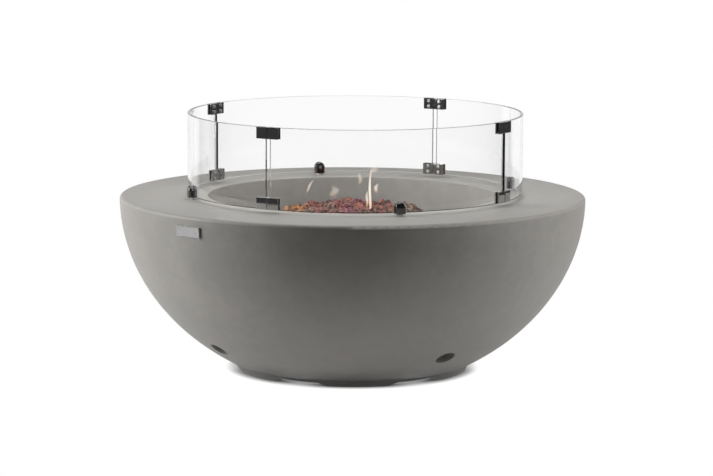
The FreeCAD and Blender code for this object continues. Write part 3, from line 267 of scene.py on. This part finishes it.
def brushedDress(level, stretch, smooth, rough):  # the lines run along the axis with the small scale
    def dress(recipe):
        lines = recipe.noise(recipe.place(stretch), brush["line"], detail=3.0, roughness=0.7)
        smear = recipe.noise(recipe.place(), brush["smear"], detail=3.0)
        shine = shared(lines, smear, brush["toneShare"])
        return {"Base Color": recipe.mixColour(shine, grey(level * brush["dull"]), grey(level)),
                "Roughness": between(smooth, rough, shared(lines, smear, brush["roughShare"])),
                "Normal": recipe.bump(lines, brush["lineDepth"])}
    return dress


moulded = {"grain": 0.0008, "grainDepth": 0.00003, "smear": 0.02, "dull": 0.75}


def mouldedDress(colour, smooth, rough):
    def dress(recipe):
        place = recipe.place()
        grain = recipe.noise(place, moulded["grain"])
        smear = recipe.noise(place, moulded["smear"], detail=3.0)
        shade = tuple(part * moulded["dull"] for part in colour[:3]) + (1,)
        return {"Base Color": recipe.mixColour(smear, shade, colour),
                "Roughness": between(smooth, rough, smear),
                "Normal": recipe.bump(grain, moulded["grainDepth"])}
    return dress


brass = {"bright": (0.62, 0.46, 0.22, 1), "dull": (0.42, 0.29, 0.13, 1), "smear": 0.02,
         "smearReach": (0.35, 0.7), "smooth": 0.22, "rough": 0.47}


def brassDress(recipe):
    smear = recipe.noise(recipe.place(), brass["smear"], detail=4.0, roughness=0.6)
    colour = recipe.mixColour(recipe.limit(smear, *brass["smearReach"]), brass["bright"], brass["dull"])
    return {"Base Color": colour, "Roughness": between(brass["smooth"], brass["rough"], smear)}


glass = {
    "face": {"Base Color": (1, 1, 1, 1), "Roughness": 0.0, "IOR": 1.33, "Specular IOR Level": 0.08,
             "Transmission Weight": 1.0},
    "edge": {"Base Color": (0.62, 0.67, 0.65, 1), "Roughness": 0.12, "IOR": 1.5, "Transmission Weight": 1.0,
             "Alpha": 0.72},
    "foot": {"Roughness": 0.4}, "faceShadow": (0.9, 0.91, 0.905, 1), "edgeShadow": (0.6, 0.65, 0.62, 1),
    "paintedShadeFoot": (0.012, 0.014, 0.013, 1), "paintedLightFoot": (0.62, 0.65, 0.64, 1), "paintedShadeReach": (-0.12, 0.12),
}


def glassFootPaintedLight(recipe):  # painted shade and light: the ground lower edge is painted dark on the front, where it is in shade, and pale at the back, where light shines through
    behind = recipe.limit(recipe.along(recipe.place(), "Y"), *glass["paintedShadeReach"])
    return {"Base Color": recipe.mixColour(behind, glass["paintedShadeFoot"], glass["paintedLightFoot"])}


metal = {"Metallic": 1.0}
finishes = {  # the last two numbers of a dress are its roughness where smooth and where rough
    "concrete": newFinish("castConcrete", {}, concreteDress),
    "clear_glass": newFinish("clearGlass", glass["face"], shadow=glass["faceShadow"]),
    "glass_edge": newFinish("groundGlassEdge", glass["edge"], shadow=glass["edgeShadow"]),
    "glass_foot": newFinish("groundGlassFootPaintedLight", glass["foot"], glassFootPaintedLight, glass["edgeShadow"]),
    "lava_rock": newFinish("lavaRock", {"Roughness": 0.88}, lavaDress),
    "polished_steel": newFinish("polishedSteel", metal, polishDress(0.62, 0.04, 0.09)),
    "brushed_stainless": newFinish("brushedSteel", metal, brushedDress(0.55, (0.05, 1, 1), 0.24, 0.42)),
    "plate_steel": newFinish("plateSteel", metal, brushedDress(0.78, (0.05, 0.05, 1), 0.2, 0.34)),
    "brass": newFinish("machinedBrass", metal, brassDress),
    "black_rubber": newFinish("blackRubber", {}, mouldedDress((0.028, 0.028, 0.029, 1), 0.6, 0.8)),
    "clear_pad": newFinish("clearPad", {"Coat Weight": 0.4},
                           mouldedDress((0.86, 0.86, 0.84, 1), 0.12, 0.25)),
    "ceramic_white": newFinish("whiteCeramic", {}, mouldedDress((0.84, 0.82, 0.76, 1), 0.18, 0.35)),
    "black_plastic": newFinish("blackPlastic", {}, mouldedDress((0.03, 0.03, 0.032, 1), 0.38, 0.55)),
    "wire_sleeve": newFinish("wireSleeve", {}, mouldedDress((0.34, 0.06, 0.045, 1), 0.5, 0.7)),
}
special = {  # nodes that look different from the rest of their slot
    # painted shade: the screen feet are a much darker copy of the polished steel, as dark as the shaded
    # room they mirror
    "screen_foot": newFinish("darkSteelPaintedShade", metal, polishDress(0.16, 0.04, 0.08)),
    "clamp_screws": newFinish("screwSteel", metal, polishDress(0.85, 0.22, 0.38)),
    "foot_screws": newFinish("setScrewSteel", metal, polishDress(0.85, 0.22, 0.38)),
}
for entry in frame["record"]["subparts"]:
    mesh = nodes[entry["node"]].data
    mesh.materials.clear()
    finish = next((made for start, made in special.items() if entry["node"].startswith(start)), None)
    mesh.materials.append(finish or finishes[entry["material_slot"]])
print("finishes:", len(finishes) + len(special))


# Mesh helpers

def newObject(name, bm, materials):
    mesh = bpy.data.meshes.new(name)
    bm.to_mesh(mesh)
    bm.free()
    for material in materials:
        mesh.materials.append(material)
    made = bpy.data.objects.new(name, mesh)
    bpy.context.scene.collection.objects.link(made)
    return made


def newPiece(name, bm, slot, sharp, trims=()):
    piece = newObject(name, bm, [finishes[key] for key in (slot, *trims)])
    piece.data.shade_smooth()
    piece.data.set_sharp_from_angle(angle=math.radians(sharp))
    return piece


def turnOf(point):
    return math.atan2(point.x, -point.y)


def atTurn(turn, radius, height):
    return Vector((radius * math.sin(turn), -radius * math.cos(turn), height))


# Glass panels: each follows its node's arc, with eased edges

panels = {"nodes": ["glass_panel_%d" % number for number in range(1, 5)], "arris": 0.0009, "steps": 96,
          "clearArea": 0.001, "sharp": 25}


def screenCentre():  # the screen stands a little to one side of the bowl
    corners = [corner for node in panels["nodes"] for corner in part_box(node)]
    across = [corner.x for corner in corners]
    along = [corner.y for corner in corners]
    return Vector(((min(across) + max(across)) / 2, (min(along) + max(along)) / 2, 0))


def panelArc(node, centre):
    points = [vert.co - centre for vert in nodes[node].data.vertices]
    facing = turnOf(sum(points, Vector()))
    away = [(turnOf(point) - facing + math.pi) % (2 * math.pi) - math.pi for point in points]
    radii = [math.hypot(point.x, point.y) for point in points]
    return facing + min(away), facing + max(away), min(radii), max(radii)


def makeGlassPanel(node, centre):
    start, end, inner, outer = panelArc(node, centre)
    low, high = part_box(node)
    ease = panels["arris"]
    corners = [(inner, low.z + ease), (inner + ease, low.z), (outer - ease, low.z),
               (outer, low.z + ease), (outer, high.z - ease), (outer - ease, high.z),
               (inner + ease, high.z), (inner, high.z - ease)]
    bm = bmesh.new()
    loop = [bm.verts.new(centre + atTurn(start, radius, height)) for radius, height in corners]
    edges = [bm.edges.new((loop[i], loop[(i + 1) % len(loop)])) for i in range(len(loop))]
    bmesh.ops.spin(bm, geom=loop + edges, cent=centre, axis=(0, 0, 1), angle=end - start,
                   steps=panels["steps"], use_duplicate=False)
    bmesh.ops.holes_fill(bm, edges=[edge for edge in bm.edges if edge.is_boundary], sides=0)
    bmesh.ops.recalc_face_normals(bm, faces=bm.faces)
    for face in bm.faces:  # all but the two tall curved faces are ground
        clear = len({vert.co.z for vert in face.verts}) == 2 and face.calc_area() > panels["clearArea"]
        face.material_index = 0 if clear else 2 if face.calc_center_median().z < low.z + ease else 1
    panel = newPiece(node, bm, "clear_glass", panels["sharp"], ("glass_edge", "glass_foot"))
    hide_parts(node)
    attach(panel, "wind_screen")


middle = screenCentre()
for name in panels["nodes"]:
    makeGlassPanel(name, middle)
print("glass panels made")


# Lava rock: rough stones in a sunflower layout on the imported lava, with chips in the gaps

lava = {
    "seed": 7, "goldenAngle": math.pi * (3 - math.sqrt(5)), "dropFrom": 1.0, "sharp": 60,
    "lumps": ((1.3, 0.5), (2.9, 0.28), (7.0, 0.1)), "pits": ((5.5, 0.22), (11.0, 0.12)),
    "shift": 50, "squeeze": (0.78, 1.0),
    "stones": {"count": 84, "sizes": (0.017, 0.026), "rise": (-0.2, 0.2), "edge": 0.026, "stray": 0.004,
               "startAngle": 0.0, "facets": 4},
    "chips": {"count": 150, "sizes": (0.007, 0.012), "rise": (0.4, 1.4), "edge": 0.014, "stray": 0.006,
              "startAngle": 1.1, "facets": 2},
    "bands": ((-0.12, (0.6, 0.62, 0.8)), (-0.03, (0.2, 0.8, 0.0, 0.86, 0.25)), (0.02, (0.42, 0.4, 0.22)),
              (0.1, (0.0, 0.22, 0.25)), (1.0, (1.0, 0.0, 0.95))), "bandBlur": 0.015,
}


def bandTone(x, chance):  # from left to right: ochre, dusty red, purple, dark red, grey
    return next(chance.choice(tones) for limit, tones in lava["bands"] if x < limit)


def addStone(bm, centre, radius, facets, chance):
    stone = bmesh.new()
    layer = stone.verts.layers.float.new("rockTone")
    bmesh.ops.create_icosphere(stone, subdivisions=facets, radius=1.0)
    shift = Vector([chance.uniform(-lava["shift"], lava["shift"]) for _ in range(3)])
    squeeze = Vector([chance.uniform(*lava["squeeze"]) for _ in range(3)])
    angle = chance.uniform(0, 2 * math.pi)
    spin = Matrix.Rotation(angle, 3, Vector([chance.uniform(-1, 1) for _ in range(3)]))
    tone = bandTone(centre.x + chance.uniform(-lava["bandBlur"], lava["bandBlur"]), chance)
    for vert in stone.verts:
        way = vert.co.normalized()
        reach = 1.0
        for size, depth in lava["lumps"]:
            reach += noise.noise(way * size + shift) * depth
        for size, depth in lava["pits"]:
            reach -= abs(noise.noise(way * size + shift)) * depth
        vert.co = centre + spin @ Vector([way[i] * squeeze[i] * radius * reach for i in range(3)])
        vert[layer] = tone
    mesh = bpy.data.meshes.new("stone")
    stone.to_mesh(mesh)
    stone.free()
    bm.from_mesh(mesh)
    bpy.data.meshes.remove(mesh)


def bedTree():
    bed = bmesh.new()
    bed.from_mesh(nodes["lava_bed"].data)
    tree = BVHTree.FromBMesh(bed)
    bed.free()
    return tree


def strew(bm, tree, kind, chance):
    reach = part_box("lava_rocks")[1].x - kind["edge"]
    for i in range(kind["count"]):
        away = reach * math.sqrt((i + 0.5) / kind["count"]) + chance.uniform(-1, 1) * kind["stray"]
        angle = i * lava["goldenAngle"] + kind["startAngle"]
        above = Vector((away * math.cos(angle), away * math.sin(angle), lava["dropFrom"]))
        ground = tree.ray_cast(above, Vector((0, 0, -1)))[0]
        size = chance.uniform(*kind["sizes"])
        rise = size * chance.uniform(*kind["rise"])
        if ground:
            addStone(bm, ground + Vector((0, 0, rise)), size, kind["facets"], chance)


def makeLava():
    chance = random.Random(lava["seed"])
    bm = bmesh.new()
    bm.verts.layers.float.new("rockTone")
    tree = bedTree()
    for kind in (lava["stones"], lava["chips"]):
        strew(bm, tree, kind, chance)
    piece = newPiece("lavaRocks", bm, "lava_rock", lava["sharp"])
    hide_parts("lava_rocks")
    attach(piece, "root")


makeLava()
print("lava rock made")


# Flames: thin lit tongues over the burner, each a stack of rings that swell and then narrow to a tip

flames = {
    "sides": 16, "rings": 14, "foot": 0.35, "swell": 1.5, "taper": 0.8, "fullness": 1.35, "tip": 0.04,
    "sway": 0.9, "swayRise": 5.2, "swayStart": 40, "flatten": (1, 0.7, 1, 1), "glow": 1.05,
    "warm": (0.98, 0.70, 0.50, 1), "pale": (0.98, 0.88, 0.76, 1), "paleReach": (0.1, 0.6), "fade": 0.8,
}
tongues = [  # name, foot x, y, z, height, thickness, lean, body
    ("flame_1", 0.0405, 0.0, 0.340, 0.124, 0.0036, 0.001, 0.85),
    ("flame_2", 0.0325, -0.004, 0.370, 0.042, 0.0036, 0.003, 0.50),
    ("flame_3", -0.106, 0.020, 0.400, 0.034, 0.0042, 0.017, 0.32),
    ("flame_4", -0.043, 0.010, 0.390, 0.030, 0.0120, -0.004, 0.20),
    ("flame_5", 0.014, 0.030, 0.418, 0.032, 0.0052, 0.006, 0.26),
    ("flame_6", 0.053, 0.012, 0.402, 0.024, 0.0056, 0.004, 0.42),
    ("flame_7", 0.034, 0.020, 0.440, 0.030, 0.0110, 0.036, 0.20),
]


def flameDress(recipe):
    pale = recipe.limit(recipe.attribute("flameRise"), *flames["paleReach"])
    facing = 1 - recipe.node("ShaderNodeLayerWeight", {}, {"Blend": 0.5}, "Facing")
    return {"Emission Color": recipe.mixColour(pale, flames["warm"], flames["pale"]),
            "Alpha": recipe.attribute("flameBody") * facing * facing}


finishes["flame"] = newFinish("flameGlow", {"Base Color": (0, 0, 0, 1), "Emission Strength": flames["glow"],
                                            "Roughness": 1.0, "Specular IOR Level": 0.0}, flameDress)


def makeFlame(name, x, y, z, height, thickness, lean, body):
    bm = bmesh.new()
    riseLayer = bm.verts.layers.float.new("flameRise")
    bodyLayer = bm.verts.layers.float.new("flameBody")
    for ring in range(flames["rings"] + 1):
        rise = ring / flames["rings"]
        shape = (flames["foot"] + flames["swell"] * rise) * (1 - rise) ** flames["taper"]
        wide = thickness * (shape * flames["fullness"] + flames["tip"])
        phase = rise * flames["swayRise"] + x * flames["swayStart"]
        sway = math.sin(phase) * thickness * flames["sway"] * rise
        centre = Vector((x + lean * rise + sway, y, z + height * rise))
        turned = Matrix.Translation(centre) @ Matrix.Diagonal(flames["flatten"])
        made = bmesh.ops.create_circle(bm, segments=flames["sides"], radius=wide, matrix=turned)["verts"]
        for vert in made:
            vert[riseLayer] = rise
            vert[bodyLayer] = body * math.sin(math.pi * rise) ** flames["fade"]
    bm.edges.ensure_lookup_table()
    bmesh.ops.bridge_loops(bm, edges=bm.edges[:])
    bmesh.ops.holes_fill(bm, edges=[edge for edge in bm.edges if edge.is_boundary], sides=0)
    bmesh.ops.recalc_face_normals(bm, faces=bm.faces)
    piece = newObject(name, bm, [finishes["flame"]])
    piece.data.shade_smooth()


for tongue in tongues:
    makeFlame(*tongue)
print("flames made")


# Floor, daylight and lamps

studio = {
    "floor": 60.0, "tableStretch": (0.4, 1, 1), "tableEdge": (0.6, 1.1), "tableTone": 0.85, "farTone": 0.05,
    "ambient": 0.015, "paleBehind": (0.6, 0.72), "shadowReach": 0.025, "shadowOpen": (0.0, 0.9),
    "shadowTone": 0.05, "paintedShadeUnderBowl": (0.222, 0.252), "lampAim": 0.3,
}
lamps = {
    "leftSoftbox": {"at": (-1.9, -0.25, 0.9), "wide": 1.2, "tall": 1.0, "power": 27},
    "rightSoftbox": {"at": (1.9, -0.1, 0.9), "wide": 1.2, "tall": 1.0, "power": 9.5},
    "frontFill": {"at": (1.8, -0.8, 0.9), "wide": 1.2, "tall": 1.0, "power": 7.5, "shines": False},
    "overhead": {"at": (0.0, -0.3, 2.4), "wide": 1.6, "tall": 1.2, "power": 20},
}


def straightSight(recipe):  # 1 for rays that look at the background, directly or through glass
    unmirrored = recipe.maths("LESS_THAN", recipe.node("ShaderNodeLightPath", output="Glossy Depth"), 0.5)
    return recipe.larger(recipe.ray("Camera"), recipe.ray("Transmission") * unmirrored)


def mirrorSight(recipe):  # 1 for rays that come off a mirror, directly or through glass
    return recipe.larger(recipe.ray("Glossy"), recipe.ray("Transmission"))


def floorSeen(recipe):  # white, with a painted soft shadow at the feet and painted shade under the bowl
    openness = recipe.limit(recipe.openness(studio["shadowReach"], samples=16), *studio["shadowOpen"])
    outside = recipe.limit(recipe.length(recipe.place()), *studio["paintedShadeUnderBowl"])
    colour = recipe.mixColour(openness * outside, grey(studio["shadowTone"]), grey(1.0))
    return recipe.node("ShaderNodeEmission", {}, {"Color": colour})


def floorMirrored(recipe, near):  # in mirrors the floor glows, a painted reflection of a pale table in a dark room with a pale back
    ahead = recipe.node("ShaderNodeVectorMath", {"operation": "NORMALIZE"}, {0: recipe.place()})
    behind = recipe.limit(recipe.along(ahead, "Y"), *studio["paleBehind"])
    strength = recipe.larger(between(studio["farTone"], studio["tableTone"], near), behind)
    return recipe.node("ShaderNodeEmission", {}, {"Color": grey(1.0), "Strength": strength})


def makeFloor():
    material, recipe = newMaterial("paleFloor")
    table = recipe.length(recipe.place(studio["tableStretch"]))  # the table runs on to both sides
    near = 1 - recipe.limit(table, *studio["tableEdge"])
    colour = recipe.mixColour(near, grey(studio["farTone"]), grey(studio["tableTone"]))
    lit = recipe.node("ShaderNodeBsdfDiffuse", {}, {"Color": colour})
    surface = recipe.mixShader(mirrorSight(recipe), lit, floorMirrored(recipe, near))
    surface = recipe.mixShader(straightSight(recipe), surface, floorSeen(recipe))
    recipe.node("ShaderNodeOutputMaterial", {}, {"Surface": surface})
    bm = bmesh.new()
    bmesh.ops.create_grid(bm, x_segments=1, y_segments=1, size=studio["floor"])
    floor = newObject("floor", bm, [material])


def makeWorld():
    world = bpy.data.worlds.new("daylight")
    bpy.context.scene.world = world
    world.use_nodes = True
    recipe = Recipe(world.node_tree)
    way = recipe.node("ShaderNodeTexCoord", output="Generated")
    behind = recipe.limit(recipe.along(way, "Y"), *studio["paleBehind"])
    mirrored = mirrorSight(recipe) * behind  # the rest of the room is dark
    level = recipe.larger(straightSight(recipe), recipe.larger(mirrored, studio["ambient"]))
    sky = recipe.node("ShaderNodeBackground", {}, {"Color": grey(1.0), "Strength": level})
    recipe.node("ShaderNodeOutputWorld", {}, {"Surface": sky})


def makeLamp(name, spec):
    light = bpy.data.lights.new(name, "AREA")
    light.shape = "RECTANGLE"
    light.size = spec["wide"]
    light.size_y = spec["tall"]
    light.energy = spec["power"]
    lamp = bpy.data.objects.new(name, light)
    bpy.context.scene.collection.objects.link(lamp)
    lamp.location = spec["at"]
    aim = Vector((0, 0, studio["lampAim"])) - lamp.location
    lamp.rotation_euler = aim.to_track_quat("-Z", "Y").to_euler()
    lamp.visible_camera = False
    lamp.visible_glossy = spec.get("shines", True)


makeFloor()
makeWorld()
for name, spec in lamps.items():
    makeLamp(name, spec)
print("floor, daylight and lamps made")


# Camera, fitted to the photograph's 713 x 476 frame

view = {"focalPixels": 3400, "frameWidth": 713, "sensorWidth": 36, "distance": 7.815, "elevation": 8.04,
        "roll": 0.29, "aimHeight": 0.299, "aside": 0.0094}


def makeCamera():
    rise = math.radians(view["elevation"])
    roll = math.radians(view["roll"])
    forward = Vector((0, math.cos(rise), -math.sin(rise)))
    right = Vector((1, 0, 0))
    up = right.cross(forward)
    across = right * math.cos(roll) + up * math.sin(roll)
    upward = up * math.cos(roll) - right * math.sin(roll)
    data = bpy.data.cameras.new("camera")
    data.sensor_width = view["sensorWidth"]
    data.lens = view["focalPixels"] * view["sensorWidth"] / view["frameWidth"]
    camera = bpy.data.objects.new("camera", data)
    bpy.context.scene.collection.objects.link(camera)
    spot = Vector((view["aside"], 0, view["aimHeight"])) - forward * view["distance"]
    turned = Matrix((across, upward, -forward)).transposed()
    camera.matrix_world = Matrix.Translation(spot) @ turned.to_4x4()
    bpy.context.scene.camera = camera


makeCamera()
bpy.context.scene.view_settings.view_transform = "Standard"
print("scene ready")
